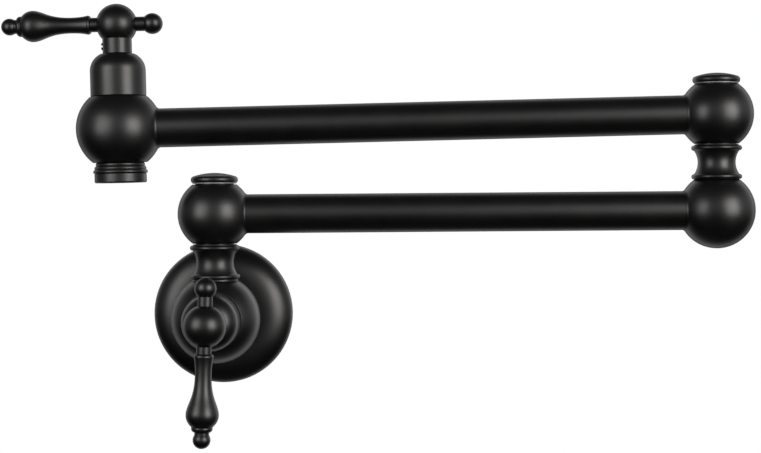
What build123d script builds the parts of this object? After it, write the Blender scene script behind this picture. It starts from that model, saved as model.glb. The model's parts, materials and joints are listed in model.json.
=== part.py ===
from build123d import *
import os
from math import cos, radians, sin, sqrt

# A wall-mounted pot filler: two swinging arms on ball swivels, with a lever valve at each end.
# Millimetres. The wall is the plane y = 0 and the tap stands out from it towards -Y. +Z is up.
# The origin is the mouth of the water inlet, at the middle of the wall flange.

# Arms
tube_r = 9.525
tube_wall = 1.2
lower_arm_length = 245.4
spout_overhang = 46.2
arm_fall_deg = 1.0
braze_gap = 0.03
braze_fillet_r = 2.4
braze_edge = 0.12
socket_web = 5.0
passage_r = 4.6

# Wall valve body and its shank
wall_to_axis = 44.0
wall_ball_r = 21.8
shank_r = 13.0
inlet_r = 9.3
inlet_depth = 16.0
neck_seat_r = 11.3
neck_boss_h = 0.8

# Wall flange with its collar, gasket, O-ring and set screw
flange_r = 35.5
flange_rim = 1.5
flange_crown_w = 14.0
flange_crown_h = 10.0
flange_shell = 2.2
collar_wall = 3.4
collar_root = 7.0
collar_end = 15.5
gasket_w = 3.2
flange_seal_at = 9.6
flange_seal_section = 1.6
flange_screw_r = 1.75
flange_screw_at = 13.0
flange_screw_socket = 2.0
sliding_gap = 0.1

# Swivels
joint_ball_r = 18.0
joint_ball_half = 14.4
seat_boss_r = 9.4
seat_boss_h = 0.4
closed_ball_r = 18.6
closed_ball_half = 15.2
spindle_r = 7.0
stem_r = 6.5
stem_engage = 7.0
water_bore_r = 4.2
water_bore_top = 3.2
port_r = 2.6
gallery_r = 9.0
gallery_half = 4.4
running_gap = 0.05
seal_at = 10.0
seal_section = 1.4
washer_t = 0.5
washer_r = 10.7

# Hourglass necks
neck_height = 16.5
neck_bead_r = 12.2
neck_bead_h = 2.5
neck_foot_r = 11.1
neck_flare_r = 10.9
neck_waist_r = 9.1

# Domed swivel caps, each with a stud into its spindle
cap_r = 11.5
cap_foot_r = 10.9
cap_dome_r = 10.6
cap_rim_h = 3.0
cap_h = 4.8
stud_r = 2.9
stud_length = 7.5

# Spout body and outlet
spout_ball_r = 21.0
spout_seat_r = 13.2
spigot_r = 8.0
spigot_length = 4.3
nozzle_r = 11.9
nozzle_step = 0.64
nozzle_rings = 3
nozzle_pitch = 1.75
nozzle_groove = 0.75
nozzle_bore_r = 6.0
aerator_r = 12.65
aerator_h = 4.7
aerator_edge = 0.45
aerator_thread_r = 9.9
aerator_thread_h = 3.2
aerator_bore_r = 8.8
aerator_lip_r = 7.9
aerator_lip_h = 0.9
insert_h = 4.3
insert_wall = 1.4
insert_floor = 1.2
insert_hole_r = 0.65
insert_hole_pitch = 2.4
insert_hole_rings = 2
aerator_washer_t = 1.5
aerator_washer_bore_r = 5.5

# Quarter-turn ceramic valves, heights measured from the seat of the bonnet
chamber_r = 9.0
chamber_depth = 22.0
seat_bore_r = 5.0
seal_t = 2.5
seal_bore_r = 4.5
skirt_r = 7.4
thread_h = 8.0
shoulder_r = 11.5
shoulder_h = 3.0
hex_flats = 17.0
hex_h = 5.0
guide_r = 6.2
guide_h = 6.0
disc_r = 6.0
disc_t = 3.0
disc_port_r = 1.5
disc_port_at = 3.4
tongue_w = 6.5
tongue_h = 3.5
window_w = 6.0
window_h = 3.0
valve_stem_r = 4.0
stem_seal_at = 9.6
stem_seal_section = 1.0
clip_t = 0.8
clip_r = 5.6
clip_groove_r = 3.2

# Bonnets
bonnet_r = 13.5
bonnet_land = 0.6
bonnet_h = 20.9
bonnet_skirt = 12.7
bonnet_top_r = 8.4
bonnet_edge = 0.5
bonnet_thread_h = 5.0
bonnet_dome_wall = 2.7
bonnet_hole_r = 4.6

# Lever handles, lengths measured from the centre of the hub
hub_r = 10.0
hub_above_bonnet = 14.5
hub_collar_r = 7.1
hub_gap = 0.3
hub_flat_r = 3.7
stem_below_hub = 4.9
handle_screw_r = 1.8
handle_screw_proud = 0.6
handle_screw_edge = 0.3
handle_screw_slot_w = 1.1
handle_screw_slot_h = 0.9
fixing_r = 2.5
fixing_from = 4.8
lever_neck_r = 3.5
lever_neck_end = 12.5
lever_collar_r = 4.55
lever_collar_end = 14.4
lever_waist_r = 3.82
lever_waist_at = 22.0
lever_flank_r = 5.3
lever_flank_at = 32.8
lever_bulb_r = 7.6
lever_bulb_at = 40.8
lever_ring_r = 4.85
lever_ring_from = 46.3
lever_ring_end = 48.7
lever_end_neck_r = 3.4
lever_end_ball_r = 4.1
lever_end_ball_at = 52.2
knob_r = 5.1
knob_at = 17.4
wall_handle_turn_deg = 2.0
fit_gap = 0.03

# Places worked out from the sizes above
upper_arm_length = lower_arm_length + spout_overhang
bonnet_seat_r = bonnet_r + bonnet_land
wall_seat_h = sqrt(wall_ball_r**2 - bonnet_seat_r**2)
spout_seat_h = sqrt(spout_ball_r**2 - bonnet_seat_r**2)
neck_seat_h = sqrt(wall_ball_r**2 - neck_seat_r**2) + neck_boss_h
outlet_seat_h = sqrt(spout_ball_r**2 - spout_seat_r**2)
seat_half = joint_ball_half + seat_boss_h
neck_top = -seat_half - washer_t
neck_base = neck_top - neck_height
stem_end = neck_base - stem_engage
swivel_rise = neck_height + washer_t + seat_half
wall_swivel_z = neck_seat_h + swivel_rise
elbow_swivel_z = wall_swivel_z + closed_ball_half + swivel_rise
fall = radians(arm_fall_deg)
spout_x = lower_arm_length - upper_arm_length * cos(fall)
spout_z = elbow_swivel_z - upper_arm_length * sin(fall)
joint_tube_seat = spindle_r + running_gap + socket_web
spout_tube_seat = chamber_r + socket_web
hub_above_seat = bonnet_h + hub_above_bonnet
hub_join = hub_above_seat - sqrt(hub_r**2 - hub_collar_r**2)
hub_flat = sqrt(hub_r**2 - hub_flat_r**2)
valve_stem_top = hub_above_seat - stem_below_hub
handle_screw_at = (bonnet_h + hub_gap + hub_join) / 2

# Frames: depth from the wall, the two valves, and the swivels
turn = radians(wall_handle_turn_deg)
wall_frame = Plane(origin=(0, 0, 0), x_dir=(0, 0, 1), z_dir=(0, -1, 0))
wall_valve_frame = Plane(
    origin=(0, -wall_to_axis - wall_seat_h, 0),
    x_dir=(sin(turn), 0, cos(turn)),
    z_dir=(0, -1, 0),
)
wall_swivel_frame = Pos(0, -wall_to_axis, wall_swivel_z)
elbow_base_frame = Pos(lower_arm_length, -wall_to_axis, wall_swivel_z)
elbow_swivel_frame = Pos(lower_arm_length, -wall_to_axis, elbow_swivel_z)


def fallen_frame(x, z):
    """Frame whose X axis lies along the falling upper arm, towards the elbow."""
    return Plane(
        origin=(x, -wall_to_axis, z),
        x_dir=(cos(fall), 0, sin(fall)),
        z_dir=(-sin(fall), 0, cos(fall)),
    )


spout_frame = fallen_frame(spout_x, spout_z)
spout_valve_frame = spout_frame * Pos(0, 0, spout_seat_h)
quarter_turn = 90
to_plus_x = Rot(0, quarter_turn, 0)
to_minus_x = Rot(0, -quarter_turn, 0)
to_plus_y = Rot(-quarter_turn, 0, 0)
to_spout = Rot(0, -quarter_turn - arm_fall_deg, 0)


def rod(radius, low, high):
    """Cylinder on the Z axis between two heights."""
    upright = (Align.CENTER, Align.CENTER, Align.MIN)
    return Pos(0, 0, low) * Cylinder(radius, high - low, align=upright)


def ring(inner_r, outer_r, low, high):
    """Flat ring on the Z axis between two heights."""
    return rod(outer_r, low, high) - rod(inner_r, low, high)


def o_ring(groove_r, section, height):
    """O-ring that lies in a groove of a spindle."""
    return Pos(0, 0, height) * Torus(groove_r + section / 2, section / 2)


def turned(edges):
    """Solid turned about the Z axis from a closed outline of radius and height."""
    return revolve(Plane.XZ * make_face(edges), Axis.Z)


def path(*points):
    """Straight edges through the points of an outline."""
    return Polyline(*points).edges()


def bowed(start, middle, end):
    """Arc through three points of an outline."""
    return ThreePointArc(start, middle, end)


def crown(rim_r, rim_h, width, height):
    """Quarter ellipse from the rim of a dome in to the start of its flat top."""
    return EllipticalCenterArc((rim_r - width, rim_h), width, height, arc_size=quarter_turn)


def arm_ball(ball_r, seat):
    """Ball on the end of an arm along Z: tube socket, water passage and a brazed fillet round the tube."""
    socket_r = tube_r + braze_gap
    fillet_r = tube_r + braze_fillet_r
    fillet_h = sqrt((ball_r + braze_fillet_r)**2 - fillet_r**2)
    touch = ball_r / (ball_r + braze_fillet_r)
    ball_end = (fillet_r * touch, fillet_h * touch)
    lip_r = socket_r + braze_edge
    lip_end = (lip_r, fillet_h - sqrt(braze_fillet_r**2 - (fillet_r - lip_r)**2))
    ball = bowed((0, -ball_r), (ball_r, 0), ball_end)
    fillet = RadiusArc(ball_end, lip_end, braze_fillet_r)
    socket = path(
        lip_end,
        (socket_r, lip_end[1]),
        (socket_r, seat),
        (passage_r, seat),
        (passage_r, 0),
        (0, 0),
        (0, -ball_r),
    )
    return turned([ball, fillet, *socket])


def joint_ball(aim):
    """Ball that turns on a swivel spindle: water gallery inside, and a raised seat for each washer."""
    ball = aim * arm_ball(joint_ball_r, joint_tube_seat)
    ball &= rod(2 * joint_ball_r, -joint_ball_half, joint_ball_half)
    ball += rod(seat_boss_r, joint_ball_half - seat_boss_h, seat_half)
    ball += rod(seat_boss_r, -seat_half, seat_boss_h - joint_ball_half)
    ball -= rod(spindle_r + running_gap, -seat_half, seat_half)
    return ball - rod(gallery_r, -gallery_half, gallery_half)


def swivel_neck():
    """Hourglass neck with a bead at each end."""
    bore_r = stem_r + fit_gap
    middle = (neck_base + neck_top) / 2
    low_bead = neck_base + neck_bead_h
    high_bead = neck_top - neck_bead_h
    low_crest = (neck_bead_r, (neck_base + low_bead) / 2)
    high_crest = (neck_bead_r, (neck_top + high_bead) / 2)
    foot = (neck_foot_r, neck_base)
    head = (neck_foot_r, neck_top)
    outline = [
        bowed(foot, low_crest, (neck_flare_r, low_bead)),
        bowed((neck_flare_r, low_bead), (neck_waist_r, middle), (neck_flare_r, high_bead)),
        bowed((neck_flare_r, high_bead), high_crest, head),
    ]
    return turned(outline + path(head, (bore_r, neck_top), (bore_r, neck_base), foot))


def swivel_spindle():
    """Hollow spindle that clamps the neck, feeds the gallery through side ports and carries the cap."""
    top = seat_half + washer_t - running_gap
    solid = rod(spindle_r, neck_top, top) + rod(stem_r, stem_end, neck_top)
    solid -= rod(water_bore_r, stem_end, water_bore_top)
    solid -= rod(stud_r + fit_gap, top - stud_length - fit_gap, top)
    for direction in (to_plus_x, to_plus_y):
        solid -= direction * rod(port_r, -spindle_r, spindle_r)
    groove_r = spindle_r + running_gap / 2 - seal_section
    half_groove = seal_section / 2 + fit_gap
    for height in (-seal_at, seal_at):
        solid -= ring(groove_r - fit_gap, spindle_r, height - half_groove, height + half_groove)
    return solid


def swivel_o_rings():
    """The two O-rings that seal the gallery above and below its ports."""
    groove_r = spindle_r + running_gap / 2 - seal_section
    return Compound(children=[o_ring(groove_r, seal_section, height) for height in (-seal_at, seal_at)])


def swivel_cap():
    """Low domed cap with a rounded rim and a stud."""
    base = seat_half + washer_t
    stud_end = base - stud_length
    rim_top = (cap_dome_r, base + cap_rim_h)
    rim = bowed((cap_foot_r, base), (cap_r, base + cap_rim_h / 2), rim_top)
    dome = TangentArc((0, base + cap_h), rim_top, tangent=(1, 0))
    below = path((cap_foot_r, base), (stud_r, base), (stud_r, stud_end), (0, stud_end), (0, base + cap_h))
    return turned([rim, dome, *below])


def swivel(prefix, frame):
    """Pieces of one swivel that stay with the neck, by node name."""
    bore_r = spindle_r + sliding_gap
    return {
        f"{prefix}_neck": frame * swivel_neck(),
        f"{prefix}_spindle": frame * swivel_spindle(),
        f"{prefix}_o_rings": frame * swivel_o_rings(),
        f"{prefix}_lower_washer": frame * ring(bore_r, washer_r, neck_top, -seat_half),
        f"{prefix}_upper_washer": frame * ring(bore_r, washer_r, seat_half, -neck_top),
        f"{prefix}_cap": frame * swivel_cap(),
    }


def stem_socket(seat):
    """Cutter for the threaded end of a swivel spindle and the water way under it."""
    return rod(stem_r + fit_gap, seat - stem_engage, seat + stem_engage) + rod(water_bore_r, 0, seat)


def closed_ball():
    """Ball that ends the lower arm and takes the spindle of the elbow."""
    side = 2 * closed_ball_r
    ball = to_minus_x * arm_ball(closed_ball_r, joint_tube_seat)
    ball &= rod(side, -side, closed_ball_half)
    return ball - stem_socket(closed_ball_half)


def arms():
    """Tubes and balls of the two arms, without the spout body."""
    bore_r = tube_r - tube_wall
    lower = ring(bore_r, tube_r, joint_tube_seat, lower_arm_length - joint_tube_seat)
    upper = ring(bore_r, tube_r, spout_tube_seat, upper_arm_length - joint_tube_seat)
    return {
        "wall_swivel_ball": wall_swivel_frame * joint_ball(to_plus_x),
        "lower_arm_tube": wall_swivel_frame * (to_plus_x * lower),
        "elbow_lower_ball": elbow_base_frame * closed_ball(),
        "elbow_upper_ball": elbow_swivel_frame * joint_ball(to_spout),
        "upper_arm_tube": spout_frame * (to_plus_x * upper),
    }


def wall_valve_body():
    """Ball body on a shank: inlet thread behind, valve chamber in front, boss for the neck on top."""
    front = wall_to_axis + wall_seat_h
    seat = front - chamber_depth
    shank_end = wall_to_axis - sqrt(wall_ball_r**2 - shank_r**2)
    ball = bowed((shank_r, shank_end), (wall_ball_r, wall_to_axis), (bonnet_seat_r, front))
    rest = path(
        (bonnet_seat_r, front),
        (chamber_r, front),
        (chamber_r, seat),
        (seat_bore_r, seat),
        (seat_bore_r, inlet_depth),
        (inlet_r, inlet_depth),
        (inlet_r, 0),
        (shank_r, 0),
        (shank_r, shank_end),
    )
    side = 2 * wall_ball_r
    upward = Pos(0, 0, wall_to_axis) * to_plus_x
    body = turned([ball, *rest])
    body -= upward * rod(side, neck_seat_h, side)
    body += upward * rod(neck_seat_r, neck_seat_h - stem_engage, neck_seat_h)
    return body - upward * stem_socket(neck_seat_h)


def wall_flange():
    """Domed flange with a hollow back and a collar that slides on the shank."""
    bore_r = shank_r + sliding_gap
    collar_r = bore_r + collar_wall
    crown_r = flange_r - flange_crown_w
    crown_top = flange_rim + flange_crown_h
    hollow_top = crown_top - flange_shell
    hollow_r = flange_r - flange_shell
    outside = crown(flange_r, flange_rim, flange_crown_w, flange_crown_h)
    hollow = crown(hollow_r, flange_rim, flange_crown_w - flange_shell, flange_crown_h - flange_shell)
    front = path(
        (crown_r, crown_top),
        (collar_r, crown_top),
        (collar_r, collar_end),
        (bore_r, collar_end),
        (bore_r, collar_root),
        (collar_r, collar_root),
        (collar_r, hollow_top),
        (crown_r, hollow_top),
    )
    rim = path((hollow_r, flange_rim), (hollow_r, 0), (flange_r, 0), (flange_r, flange_rim))
    flange = turned([outside, *front, hollow, *rim])
    half_groove = flange_seal_section / 2 + fit_gap
    groove_r = bore_r + flange_seal_section
    flange -= ring(shank_r, groove_r, flange_seal_at - half_groove, flange_seal_at + half_groove)
    screw_hole = rod(flange_screw_r + fit_gap, shank_r, collar_r + collar_wall)
    return flange - Pos(0, 0, flange_screw_at) * (to_minus_x * screw_hole)


def wall_fittings():
    """Flange and what holds and seals it on the shank, by node name."""
    hollow_r = flange_r - flange_shell
    collar_r = shank_r + sliding_gap + collar_wall
    gasket = ring(hollow_r - gasket_w, hollow_r - running_gap, 0, flange_rim)
    screw = rod(flange_screw_r, shank_r + fit_gap, collar_r)
    screw -= hex_socket(collar_r, -flange_screw_r)
    return {
        "wall_valve_body": wall_frame * wall_valve_body(),
        "wall_flange": wall_frame * wall_flange(),
        "flange_gasket": wall_frame * gasket,
        "flange_o_ring": wall_frame * o_ring(shank_r + fit_gap, flange_seal_section, flange_seal_at),
        "flange_set_screw": wall_frame * (Pos(0, 0, flange_screw_at) * (to_minus_x * screw)),
    }


def hex_socket(face, depth):
    """Cutter for a hexagon key socket that starts at a height and goes down."""
    return extrude(Pos(0, 0, face) * RegularPolygon(flange_screw_socket / 2, 6, major_radius=False), depth)


def spout_body():
    """Ball body with the valve chamber above, the arm at the side and the outlet below."""
    seat = spout_seat_h - chamber_depth
    socket_top = -outlet_seat_h + spigot_length + fit_gap
    body = to_plus_x * arm_ball(spout_ball_r, spout_tube_seat)
    body &= rod(2 * spout_ball_r, -outlet_seat_h, spout_seat_h)
    body -= rod(chamber_r, seat, spout_seat_h)
    body -= rod(seat_bore_r, socket_top, seat)
    return body - rod(spigot_r + fit_gap, -outlet_seat_h, socket_top)


def outlet():
    """Ringed outlet collar and the aerator screwed into it, by node name."""
    top = -outlet_seat_h
    end = top - nozzle_rings * nozzle_pitch
    edges = []
    for index in range(nozzle_rings):
        ring_r = nozzle_r + index * nozzle_step
        groove_r = ring_r - nozzle_groove
        next_groove_r = groove_r + nozzle_step
        high = top - index * nozzle_pitch
        low = high - nozzle_pitch
        edges.append(bowed((groove_r, high), (ring_r, (high + low) / 2), (next_groove_r, low)))
    bore_r = aerator_thread_r + fit_gap
    step = end + aerator_thread_h + fit_gap
    edges += path(
        (next_groove_r, end),
        (bore_r, end),
        (bore_r, step),
        (nozzle_bore_r, step),
        (nozzle_bore_r, top + spigot_length),
        (spigot_r, top + spigot_length),
        (spigot_r, top),
        (nozzle_r - nozzle_groove, top),
    )
    bottom = end - aerator_h
    floor = bottom + aerator_lip_h
    housing = path(
        (aerator_bore_r, end + aerator_thread_h),
        (aerator_thread_r, end + aerator_thread_h),
        (aerator_thread_r, end),
        (aerator_r - aerator_edge, end),
        (aerator_r, end - aerator_edge),
        (aerator_r, bottom + aerator_edge),
        (aerator_r - aerator_edge, bottom),
        (aerator_lip_r, bottom),
        (aerator_lip_r, floor),
        (aerator_bore_r, floor),
        (aerator_bore_r, end + aerator_thread_h),
    )
    insert_r = aerator_bore_r - fit_gap
    insert = rod(insert_r, floor, floor + insert_h)
    insert -= rod(insert_r - insert_wall, floor + insert_floor, floor + insert_h)
    hole = rod(insert_hole_r, floor, floor + insert_floor)
    insert -= hole
    for index in range(1, insert_hole_rings + 1):
        for place in PolarLocations(index * insert_hole_pitch, 6 * index):
            insert -= place * hole
    washer_low = floor + insert_h
    washer = ring(aerator_washer_bore_r, insert_r, washer_low, washer_low + aerator_washer_t)
    return {
        "spout_valve_body": spout_frame * spout_body(),
        "outlet_collar": spout_frame * turned(edges),
        "aerator_housing": spout_frame * turned(housing),
        "aerator_insert": spout_frame * insert,
        "aerator_washer": spout_frame * washer,
    }


def disc_ports(low, high, angle_deg):
    """Cutter for the two ports of a ceramic disc."""
    return [place * rod(disc_port_r, low, high) for place in PolarLocations(disc_port_at, 2, angle_deg)]


def cartridge_body():
    """Brass cartridge: windowed skirt, thread, shoulder, hexagon and stem guide."""
    bottom = -chamber_depth + seal_t
    cavity_r = disc_r + sliding_gap
    cavity_top = bottom + 2 * disc_t + tongue_h + sliding_gap
    bore_r = valve_stem_r + running_gap
    hex_end = shoulder_h + hex_h
    body = rod(skirt_r, bottom, -thread_h) + rod(chamber_r - fit_gap, -thread_h, 0)
    body += rod(shoulder_r, 0, shoulder_h) + rod(guide_r, hex_end, hex_end + guide_h)
    hexagon = RegularPolygon(hex_flats / 2, 6, major_radius=False)
    body += extrude(Pos(0, 0, shoulder_h) * hexagon, hex_h)
    body -= rod(cavity_r, bottom, cavity_top) + rod(bore_r, cavity_top, hex_end + guide_h)
    window_low = bottom + 2 * disc_t
    window = Box(window_w, 2 * chamber_r, window_h, align=(Align.CENTER, Align.CENTER, Align.MIN))
    return body - Pos(0, 0, window_low) * window


def cartridge_spindle():
    """Valve stem with a driving tongue, an O-ring groove and a clip groove."""
    bottom = -chamber_depth + seal_t + 2 * disc_t
    tongue_top = bottom + tongue_h
    guide_top = shoulder_h + hex_h + guide_h
    width = Box(2 * disc_r, tongue_w, 2 * tongue_h)
    tongue = rod(disc_r - sliding_gap, bottom, tongue_top) & Pos(0, 0, bottom) * width
    stem = tongue + rod(valve_stem_r, tongue_top, valve_stem_top)
    groove_r = valve_stem_r + running_gap / 2 - stem_seal_section
    half_groove = stem_seal_section / 2 + fit_gap
    stem -= ring(groove_r - fit_gap, valve_stem_r, stem_seal_at - half_groove, stem_seal_at + half_groove)
    return stem - ring(clip_groove_r, valve_stem_r, guide_top, guide_top + clip_t)


def spindle_clip():
    """Open clip that keeps the stem in its guide."""
    low = shoulder_h + hex_h + guide_h
    clip = ring(clip_groove_r + fit_gap, clip_r, low + fit_gap, low + clip_t)
    mouth = Box(clip_r, 2 * clip_groove_r, 4 * clip_t, align=(Align.MIN, Align.CENTER, Align.CENTER))
    return clip - Pos(0, 0, low) * mouth


def bonnet():
    """Round-shouldered cover over a cartridge."""
    upward = (0, 1)
    dome_r = bonnet_r - bonnet_dome_wall
    thread_r = shoulder_r + sliding_gap
    ceiling = bonnet_h - bonnet_dome_wall
    rim = (bonnet_r, bonnet_skirt)
    inner_rim = (dome_r, bonnet_skirt)
    shoulder = TangentArc(rim, (bonnet_top_r, bonnet_h), tangent=upward)
    vault = TangentArc(inner_rim, (bonnet_hole_r, ceiling), tangent=upward)
    hole = path((bonnet_top_r, bonnet_h), (bonnet_hole_r, bonnet_h), (bonnet_hole_r, ceiling))
    skirt = path(
        inner_rim,
        (dome_r, bonnet_thread_h),
        (thread_r, bonnet_thread_h),
        (thread_r, 0),
        (bonnet_r - bonnet_edge, 0),
        (bonnet_r, bonnet_edge),
        rim,
    )
    return turned([*skirt, shoulder, *hole, vault])


def handle_hub():
    """Ball hub on a collar, bored for the stem, the set screw and the two fixings."""
    low = bonnet_h + hub_gap
    stem_bore_r = valve_stem_r + fit_gap
    ball = bowed((hub_collar_r, hub_join), (hub_r, hub_above_seat), (0, hub_above_seat + hub_r))
    stem_top = valve_stem_top + sliding_gap
    rest = path(
        (0, hub_above_seat + hub_r),
        (0, stem_top),
        (stem_bore_r, stem_top),
        (stem_bore_r, low),
        (hub_collar_r, low),
        (hub_collar_r, hub_join),
    )
    hub = turned([ball, *rest])
    fixing = rod(fixing_r + fit_gap, fixing_from - fit_gap, hub_flat)
    spot_face = rod(hub_r, hub_flat, 2 * hub_r)
    for direction in (to_plus_x, to_minus_x):
        hub -= Pos(0, 0, hub_above_seat) * (direction * (fixing + spot_face))
    screw_hole = rod(handle_screw_r + fit_gap, 0, hub_r)
    return hub - Pos(0, 0, handle_screw_at) * (to_minus_x * screw_hole)


def lever():
    """Turned lever: neck, collar, waisted bulb, ring and end ball."""
    ball_start = lever_end_ball_at - sqrt(lever_end_ball_r**2 - lever_end_neck_r**2)
    tip = lever_end_ball_at + lever_end_ball_r
    collar_middle = (lever_neck_end + lever_collar_end) / 2
    stem = path(
        (0, fixing_from),
        (fixing_r, fixing_from),
        (fixing_r, hub_flat),
        (lever_neck_r, hub_flat),
        (lever_neck_r, lever_neck_end),
    )
    collar = bowed(
        (lever_neck_r, lever_neck_end),
        (lever_collar_r, collar_middle),
        (lever_collar_r, lever_collar_end),
    )
    grip = Spline(
        (lever_collar_r, lever_collar_end),
        (lever_waist_r, lever_waist_at),
        (lever_flank_r, lever_flank_at),
        (lever_bulb_r, lever_bulb_at),
        (lever_ring_r, lever_ring_from),
    )
    ring_middle = (lever_ring_from + lever_ring_end) / 2
    end_ring = bowed(
        (lever_ring_r, lever_ring_from),
        (lever_ring_r, ring_middle),
        (lever_end_neck_r, lever_ring_end),
    )
    neck = path((lever_end_neck_r, lever_ring_end), (lever_end_neck_r, ball_start))
    ball = bowed((lever_end_neck_r, ball_start), (lever_end_ball_r, lever_end_ball_at), (0, tip))
    axis = path((0, tip), (0, fixing_from))
    return turned([*stem, collar, grip, end_ring, *neck, ball, *axis])


def counter_knob():
    """Short stub with a ball end, opposite the lever."""
    ball_start = knob_at - sqrt(knob_r**2 - lever_neck_r**2)
    tip = knob_at + knob_r
    stub = path(
        (0, tip),
        (0, fixing_from),
        (fixing_r, fixing_from),
        (fixing_r, hub_flat),
        (lever_neck_r, hub_flat),
        (lever_neck_r, ball_start),
    )
    ball = bowed((lever_neck_r, ball_start), (knob_r, knob_at), (0, tip))
    return turned([*stub, ball])


def handle_screw():
    """Slotted set screw that clamps the hub on the stem."""
    start = valve_stem_r + fit_gap
    end = hub_collar_r + handle_screw_proud
    screw = turned(path(
        (0, start),
        (handle_screw_r, start),
        (handle_screw_r, end - handle_screw_edge),
        (handle_screw_r - handle_screw_edge, end),
        (0, end),
        (0, start),
    ))
    slot = Box(handle_screw_slot_w, 4 * handle_screw_r, 2 * handle_screw_slot_h)
    return screw - Pos(0, 0, end) * slot


def valve(prefix, frame):
    """Cartridge, bonnet and lever handle of one valve, by node name."""
    bottom = -chamber_depth
    seal_top = bottom + seal_t
    disc_top = seal_top + disc_t
    fixed = rod(disc_r, seal_top, disc_top)
    fixed -= disc_ports(seal_top, disc_top, 0)
    moving = rod(disc_r, disc_top, disc_top + disc_t)
    moving -= disc_ports(disc_top, disc_top + disc_t, quarter_turn)
    groove_r = valve_stem_r + running_gap / 2 - stem_seal_section
    at_hub = Pos(0, 0, hub_above_seat)
    at_screw = Pos(0, 0, handle_screw_at)
    pieces = {
        "seat_seal": ring(seal_bore_r, skirt_r, bottom, seal_top),
        "cartridge_body": cartridge_body(),
        "fixed_disc": fixed,
        "moving_disc": moving,
        "cartridge_spindle": cartridge_spindle(),
        "spindle_o_ring": o_ring(groove_r, stem_seal_section, stem_seal_at),
        "spindle_clip": spindle_clip(),
        "bonnet": bonnet(),
        "handle_hub": handle_hub(),
        "handle_lever": at_hub * (to_minus_x * lever()),
        "counter_knob": at_hub * (to_plus_x * counter_knob()),
        "handle_set_screw": at_screw * (to_minus_x * handle_screw()),
    }
    return {f"{prefix}_{name}": frame * piece for name, piece in pieces.items()}


nodes = {
    **wall_fittings(),
    **valve("wall", wall_valve_frame),
    **swivel("wall_swivel", wall_swivel_frame),
    **arms(),
    **swivel("elbow", elbow_swivel_frame),
    **outlet(),
    **valve("spout", spout_valve_frame),
}

os.makedirs("parts", exist_ok=True)
for name, piece in nodes.items():
    export_step(piece, f"parts/{name}.step")
print(f"{len(nodes)} nodes")
print(f"wall swivel z {wall_swivel_z:.4f}, elbow swivel z {elbow_swivel_z:.4f}")
print(f"spout ball x {spout_x:.4f}, z {spout_z:.4f}")
print(f"aerator foot below spout ball {outlet_seat_h + nozzle_rings * nozzle_pitch + aerator_h:.4f}")
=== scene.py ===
import json
import math

import bpy
from mathutils import Matrix, Vector


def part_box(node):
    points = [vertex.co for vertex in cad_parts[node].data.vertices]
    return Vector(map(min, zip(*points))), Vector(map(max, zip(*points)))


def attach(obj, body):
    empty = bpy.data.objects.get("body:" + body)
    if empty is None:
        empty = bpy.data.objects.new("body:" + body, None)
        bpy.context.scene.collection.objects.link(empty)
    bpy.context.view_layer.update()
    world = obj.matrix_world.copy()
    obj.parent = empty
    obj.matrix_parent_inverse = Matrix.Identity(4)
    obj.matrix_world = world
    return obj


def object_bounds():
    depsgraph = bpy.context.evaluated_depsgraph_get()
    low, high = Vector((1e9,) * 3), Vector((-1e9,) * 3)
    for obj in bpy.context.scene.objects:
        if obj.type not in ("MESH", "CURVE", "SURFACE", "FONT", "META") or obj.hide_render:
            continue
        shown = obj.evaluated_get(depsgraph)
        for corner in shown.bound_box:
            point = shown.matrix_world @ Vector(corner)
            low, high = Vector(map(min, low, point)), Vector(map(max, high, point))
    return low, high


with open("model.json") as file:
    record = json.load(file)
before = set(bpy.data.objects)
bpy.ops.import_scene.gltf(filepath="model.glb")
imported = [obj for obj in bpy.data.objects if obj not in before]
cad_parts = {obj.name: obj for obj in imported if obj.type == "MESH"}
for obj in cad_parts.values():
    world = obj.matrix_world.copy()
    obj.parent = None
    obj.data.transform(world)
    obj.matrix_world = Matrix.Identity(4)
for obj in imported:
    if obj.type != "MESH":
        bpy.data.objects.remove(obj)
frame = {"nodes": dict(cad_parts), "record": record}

cad_low, cad_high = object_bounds()
nodes = frame["nodes"]
millimetre = 0.001

# Photograph's frame and the camera that matches it
photo_width = 761
focal_pixels = 1700.0
sensor_width = 36.0
camera_place = Vector((81.80, -874.83, 56.04)) * millimetre
camera_yaw = math.radians(0.055)
camera_pitch = math.radians(-0.793)
camera_roll = math.radians(0.427)

# Softboxes in front, one to each side, with the left one nearer and dimmer
softbox_right_place = Vector((820, -860, 235)) * millimetre
softbox_right_size = (0.68, 0.76)
softbox_right_watts = 3.6
softbox_right_colour = (1.0, 0.975, 0.95)
softbox_left_place = Vector((-300, -440, 150)) * millimetre
softbox_left_size = (0.32, 0.36)
softbox_left_watts = 0.51
softbox_left_colour = (1.0, 0.985, 0.97)
softbox_spread = math.radians(95)

# Light of the white surroundings on the object, apart from reflections
white = (1.0, 1.0, 1.0, 1.0)
room_ambient = 0.03

# What reflections see: a dim room, darkest below, between these heights of the ray's direction
room_floor = 0.005
room_ceiling = 0.06
room_heights = (-0.2, 0.9)

# A pale band round the room, weaker to the left
band_strength = 0.58
band_lower_edge = (-0.30, 0.14)
band_upper_edge = (0.30, 0.78)
band_left_share = 0.4
band_left_edge = (-0.9, -0.1)

# The white backdrop behind the object
backdrop_reflected = 1.0
backdrop_edge = (0.3, 1.0)

# Range that most of a noise keeps to, and how fine its clouds and grain are
noise_low = 0.3
noise_high = 0.7
noise_detail = 3.0
cloud_roughness = 0.5
grain_roughness = 0.6

# Sockets of a colour mix, which share their names with those of its other kinds
mix_factor = 0
mix_first = 6
mix_second = 7
mix_result = 2

# Rounding of the coated and machined edges
edge_radius = 0.25 * millimetre
edge_samples = 6

# Softer gloss of the coat where it is seen at a glancing angle
glancing_start = 0.6
glancing_rough = 0.8

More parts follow.
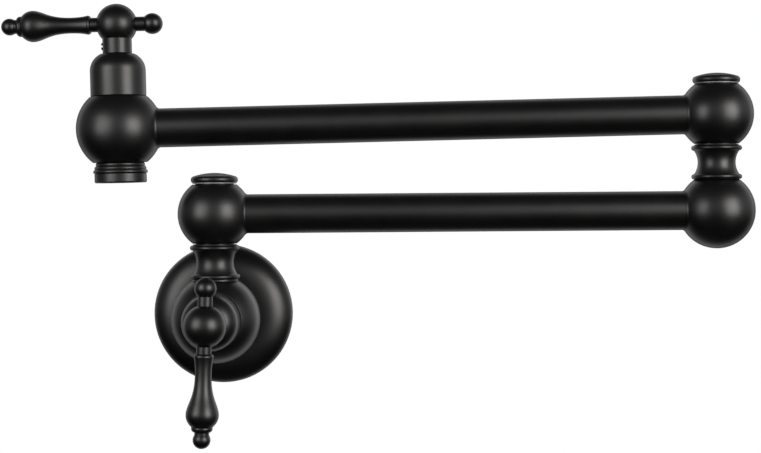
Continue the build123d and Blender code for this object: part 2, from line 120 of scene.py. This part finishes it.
# Half-inch pipe thread in the water inlet, whose ends thin out over part of a turn
thread_pitch = 1.814 * millimetre
thread_height = 0.7 * millimetre
thread_crest = 0.25 * millimetre
thread_sink = 0.05 * millimetre
thread_start = 0.4 * millimetre
thread_first = 0.5
thread_turns = 7
thread_steps = 64
thread_fade = 0.35
thread_tip = 0.01
sharp_angle = math.radians(30)

# Floor, as far down as such a tap hangs above it
floor_drop = 1.4
floor_half = 0.75
floor_colour = (0.86, 0.86, 0.85)
floor_roughness = 0.9
floor_reflected = 0.005


def set_inputs(node, values):
    """Sets a shader node's inputs by name."""
    for name, value in values.items():
        node.inputs[name].default_value = value


def new_material(name):
    """A node material, with its tree and its main shader."""
    material = bpy.data.materials.new(name)
    material.use_nodes = True
    tree = material.node_tree
    return material, tree, tree.nodes["Principled BSDF"]


def noise(tree, place, size, roughness):
    """Cloudy variation with features of about the given size in metres, fixed to the piece."""
    texture = tree.nodes.new("ShaderNodeTexNoise")
    set_inputs(texture, {"Scale": 1.0 / size, "Detail": noise_detail, "Roughness": roughness})
    tree.links.new(place, texture.inputs["Vector"])
    return texture.outputs["Fac"]


def spread(tree, value, low, high):
    """Maps a noise, which keeps near its middle, onto a range."""
    remap = tree.nodes.new("ShaderNodeMapRange")
    set_inputs(remap, {"From Min": noise_low, "From Max": noise_high, "To Min": low, "To Max": high})
    tree.links.new(value, remap.inputs["Value"])
    return remap.outputs["Result"]


def two_colours(tree, factor, first, second):
    """A colour that wanders between two."""
    mix = tree.nodes.new("ShaderNodeMix")
    mix.data_type = "RGBA"
    mix.inputs[mix_first].default_value = (*first, 1.0)
    mix.inputs[mix_second].default_value = (*second, 1.0)
    tree.links.new(factor, mix.inputs[mix_factor])
    return mix.outputs[mix_result]


def bump(tree, height, depth, strength):
    """A normal raised by a height map, with its depth in metres, on softly rounded edges."""
    edge = tree.nodes.new("ShaderNodeBevel")
    edge.samples = edge_samples
    edge.inputs["Radius"].default_value = edge_radius
    relief = tree.nodes.new("ShaderNodeBump")
    set_inputs(relief, {"Strength": strength, "Distance": depth})
    tree.links.new(height, relief.inputs["Height"])
    tree.links.new(edge.outputs["Normal"], relief.inputs["Normal"])
    return relief.outputs["Normal"]


def soften(tree, roughness):
    """A roughness that rises where the surface is seen at a glancing angle."""
    weight = tree.nodes.new("ShaderNodeLayerWeight")
    rise = tree.nodes.new("ShaderNodeMapRange")
    rise.interpolation_type = "SMOOTHSTEP"
    set_inputs(rise, {"From Min": glancing_start, "From Max": 1.0, "To Max": glancing_rough})
    tree.links.new(weight.outputs["Facing"], rise.inputs["Value"])
    tree.links.new(roughness, rise.inputs["To Min"])
    return rise.outputs["Result"]


def surface(name, colours, rough, cloud, grain, depth, strength, metallic=0.0, gloss=0.5, soft=False):
    """A material whose colour and roughness wander in clouds, under a fine grain. Sizes are in metres."""
    material, tree, shader = new_material(name)
    place = tree.nodes.new("ShaderNodeTexCoord").outputs["Object"]
    clouds = noise(tree, place, cloud, cloud_roughness)
    grains = noise(tree, place, grain, grain_roughness)
    tree.links.new(two_colours(tree, clouds, *colours), shader.inputs["Base Color"])
    roughness = spread(tree, clouds, *rough)
    if soft:
        roughness = soften(tree, roughness)
    tree.links.new(roughness, shader.inputs["Roughness"])
    tree.links.new(bump(tree, grains, depth, strength), shader.inputs["Normal"])
    set_inputs(shader, {"Metallic": metallic, "Specular IOR Level": gloss})
    return material


def matte_black():
    """Satin powder coat on brass."""
    return surface(
        "matte_black_coat",
        colours=((0.0012, 0.0012, 0.0012), (0.0018, 0.0018, 0.0018)),
        rough=(0.35, 0.40),
        cloud=0.012,
        grain=0.0003,
        depth=0.00001,
        strength=0.2,
        soft=True,
    )


def black_screw():
    """Black-oxide steel."""
    return surface(
        "black_oxide",
        colours=((0.08, 0.08, 0.082), (0.13, 0.13, 0.13)),
        rough=(0.3, 0.45),
        cloud=0.002,
        grain=0.0003,
        depth=0.00001,
        strength=0.2,
        metallic=0.7,
    )


def brass():
    """Machined brass."""
    return surface(
        "machined_brass",
        colours=((0.70, 0.50, 0.22), (0.78, 0.58, 0.28)),
        rough=(0.22, 0.34),
        cloud=0.004,
        grain=0.0003,
        depth=0.00001,
        strength=0.15,
        metallic=1.0,
    )


def steel():
    """Spring steel."""
    return surface(
        "spring_steel",
        colours=((0.52, 0.52, 0.53), (0.62, 0.62, 0.62)),
        rough=(0.2, 0.32),
        cloud=0.003,
        grain=0.0003,
        depth=0.00001,
        strength=0.15,
        metallic=1.0,
    )


def ceramic():
    """Lapped alumina."""
    return surface(
        "lapped_ceramic",
        colours=((0.84, 0.83, 0.79), (0.90, 0.89, 0.86)),
        rough=(0.12, 0.22),
        cloud=0.003,
        grain=0.0002,
        depth=0.00001,
        strength=0.05,
    )


def rubber():
    """Moulded rubber."""
    return surface(
        "moulded_rubber",
        colours=((0.02, 0.02, 0.02), (0.035, 0.035, 0.035)),
        rough=(0.6, 0.75),
        cloud=0.003,
        grain=0.0003,
        depth=0.00002,
        strength=0.3,
    )


def acetal():
    """Grey acetal of the washers under the caps."""
    return surface(
        "grey_acetal",
        colours=((0.21, 0.21, 0.205), (0.28, 0.28, 0.275)),
        rough=(0.38, 0.5),
        cloud=0.003,
        grain=0.0003,
        depth=0.00001,
        strength=0.2,
    )


def black_acetal():
    """Near-black acetal of the washers on the necks: painted shade, darker than the grey washers under the
    caps because these sit in the shade under the balls.
    """
    return surface(
        "black_acetal",
        # painted shade: a near-black copy of the washer acetal for the shaded washers on the necks
        colours=((0.008, 0.008, 0.008), (0.014, 0.014, 0.014)),
        rough=(0.38, 0.5),
        cloud=0.003,
        grain=0.0003,
        depth=0.00001,
        strength=0.2,
        gloss=0.3,
    )


def aerator_plastic():
    """Moulded grey plastic."""
    return surface(
        "grey_plastic",
        colours=((0.26, 0.26, 0.27), (0.32, 0.32, 0.33)),
        rough=(0.4, 0.55),
        cloud=0.003,
        grain=0.0003,
        depth=0.00001,
        strength=0.2,
    )


makers = {
    "matte_black": matte_black,
    "black_screw": black_screw,
    "brass": brass,
    "steel": steel,
    "ceramic": ceramic,
    "rubber": rubber,
    "acetal": acetal,
    "black_acetal": black_acetal,
    "aerator_plastic": aerator_plastic,
}
finishes = {slot: make() for slot, make in makers.items()}
for node in nodes.values():
    for holder in node.material_slots:
        holder.material = finishes[holder.material.name]


def make_inlet_thread():
    """The pipe thread of the water inlet: a V-shaped ridge wound along the bore, thin at both ends."""
    mounts = {mount["name"]: mount for mount in frame["record"]["mounts"]}
    bore_r = mounts["water_inlet"]["dims"]["r_mm"] * millimetre
    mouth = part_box("wall_valve_body")[1].y - thread_start
    section = (
        (-thread_sink, -thread_pitch / 2),
        (thread_height, -thread_crest / 2),
        (thread_height, thread_crest / 2),
        (-thread_sink, thread_pitch / 2),
    )
    points = []
    rings = thread_turns * thread_steps + 1
    for index in range(rings):
        turns = index / thread_steps
        angle = turns * math.tau
        to_start = turns + thread_tip
        to_end = thread_turns - turns + thread_tip
        thickness = min(1.0, to_start / thread_fade, to_end / thread_fade)
        for inward, along in section:
            radius = bore_r - inward * thickness
            depth = thread_pitch * (turns + thread_first) + along
            points.append((radius * math.cos(angle), mouth - depth, radius * math.sin(angle)))
    corners = len(section)
    faces = [tuple(range(corners)), tuple(reversed(range((rings - 1) * corners, rings * corners)))]
    for index in range(rings - 1):
        for corner in range(corners):
            after = (corner + 1) % corners
            near = index * corners
            far = near + corners
            faces.append((near + after, near + corner, far + corner, far + after))
    mesh = bpy.data.meshes.new("inlet_thread")
    mesh.from_pydata(points, [], faces)
    mesh.polygons.foreach_set("use_smooth", [True] * len(faces))
    mesh.set_sharp_from_angle(angle=sharp_angle)
    thread = bpy.data.objects.new("inlet_thread", mesh)
    mesh.materials.append(finishes["brass"])
    bpy.context.scene.collection.objects.link(thread)
    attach(thread, "wall_body")


def make_camera():
    """The camera at the photograph's viewing angle."""
    data = bpy.data.cameras.new("photo_camera")
    data.sensor_width = sensor_width
    data.lens = focal_pixels / photo_width * sensor_width
    camera = bpy.data.objects.new("photo_camera", data)
    level = Matrix.Rotation(math.pi / 2, 4, "X")
    turn = (
        Matrix.Rotation(camera_yaw, 4, "Z")
        @ Matrix.Rotation(camera_pitch, 4, "X")
        @ Matrix.Rotation(camera_roll, 4, "Y")
    )
    camera.matrix_world = Matrix.Translation(camera_place) @ turn @ level
    bpy.context.scene.collection.objects.link(camera)
    bpy.context.scene.camera = camera


def make_softbox(name, place, size, watts, colour):
    """A soft rectangular lamp that faces the middle of the object, unseen by the camera."""
    middle = (cad_low + cad_high) / 2
    data = bpy.data.lights.new(name, "AREA")
    data.shape = "RECTANGLE"
    data.size, data.size_y = size
    data.energy = watts
    data.color = colour
    data.spread = softbox_spread
    lamp = bpy.data.objects.new(name, data)
    lamp.visible_camera = False
    lamp.location = place
    lamp.rotation_euler = (place - middle).to_track_quat("Z", "Y").to_euler()
    bpy.context.scene.collection.objects.link(lamp)


def strength_by_ray(tree, lighting, reflected):
    """A strength of 1 to the camera and through glass, another in reflections, and another as light."""
    path = tree.nodes.new("ShaderNodeLightPath")
    strength = lighting
    for ray, chosen in (("Is Glossy Ray", reflected), ("Is Transmission Ray", 1.0), ("Is Camera Ray", 1.0)):
        mix = tree.nodes.new("ShaderNodeMix")
        tree.links.new(path.outputs[ray], mix.inputs["Factor"])
        for socket, value in ((mix.inputs["A"], strength), (mix.inputs["B"], chosen)):
            if isinstance(value, float):
                socket.default_value = value
            else:
                tree.links.new(value, socket)
        strength = mix.outputs["Result"]
    return strength


def make_room():
    """White to the camera. Reflections see the white backdrop, a pale band and a dim room."""
    world = bpy.data.worlds.new("studio")
    bpy.context.scene.world = world
    world.use_nodes = True
    tree = world.node_tree
    background = tree.nodes["Background"]
    background.inputs["Color"].default_value = white
    direction = tree.nodes.new("ShaderNodeSeparateXYZ")
    tree.links.new(tree.nodes.new("ShaderNodeTexCoord").outputs["Generated"], direction.inputs["Vector"])

    def ramp(axis, edge, low, high):
        """A strength that goes from low to high across an edge, along one axis of the ray's direction."""
        start, end = edge
        remap = tree.nodes.new("ShaderNodeMapRange")
        remap.interpolation_type = "SMOOTHSTEP"
        set_inputs(remap, {"From Min": start, "From Max": end, "To Min": low, "To Max": high})
        tree.links.new(direction.outputs[axis], remap.inputs["Value"])
        return remap.outputs["Result"]

    def join(operation, first, second):
        """Two strengths added or multiplied."""
        node = tree.nodes.new("ShaderNodeMath")
        node.operation = operation
        tree.links.new(first, node.inputs[0])
        tree.links.new(second, node.inputs[1])
        return node.outputs["Value"]

    below = ramp("Z", band_lower_edge, 0.0, band_strength)
    above = ramp("Z", band_upper_edge, 1.0, 0.0)
    left = ramp("X", band_left_edge, band_left_share, 1.0)
    band = join("MULTIPLY", join("MULTIPLY", below, above), left)
    backdrop = ramp("Y", backdrop_edge, 0.0, backdrop_reflected)
    far = ramp("Z", room_heights, room_floor, room_ceiling)
    room = join("ADD", join("ADD", band, backdrop), far)
    tree.links.new(strength_by_ray(tree, room_ambient, room), background.inputs["Strength"])


def make_floor():
    """A plain pale floor below the object."""
    mesh = bpy.data.meshes.new("floor")
    height = cad_low.z - floor_drop
    middle = (cad_low + cad_high) / 2
    corners = [
        (middle.x + side_x * floor_half, middle.y + side_y * floor_half, height)
        for side_x, side_y in ((-1, -1), (1, -1), (1, 1), (-1, 1))
    ]
    mesh.from_pydata(corners, [], [(0, 1, 2, 3)])
    floor = bpy.data.objects.new("floor", mesh)
    material, tree, shader = new_material("pale_floor")
    colour = (*floor_colour, 1.0)
    set_inputs(shader, {"Base Color": colour, "Emission Color": colour, "Roughness": floor_roughness})
    shader.inputs["Specular IOR Level"].default_value = 0.0
    tree.links.new(strength_by_ray(tree, 0.0, floor_reflected), shader.inputs["Emission Strength"])
    mesh.materials.append(material)
    bpy.context.scene.collection.objects.link(floor)


bpy.context.scene.view_settings.view_transform = "Standard"
make_inlet_thread()
make_camera()
make_softbox(
    "softbox_left",
    softbox_left_place,
    softbox_left_size,
    softbox_left_watts,
    softbox_left_colour,
)
make_softbox(
    "softbox_right",
    softbox_right_place,
    softbox_right_size,
    softbox_right_watts,
    softbox_right_colour,
)
make_room()
make_floor()
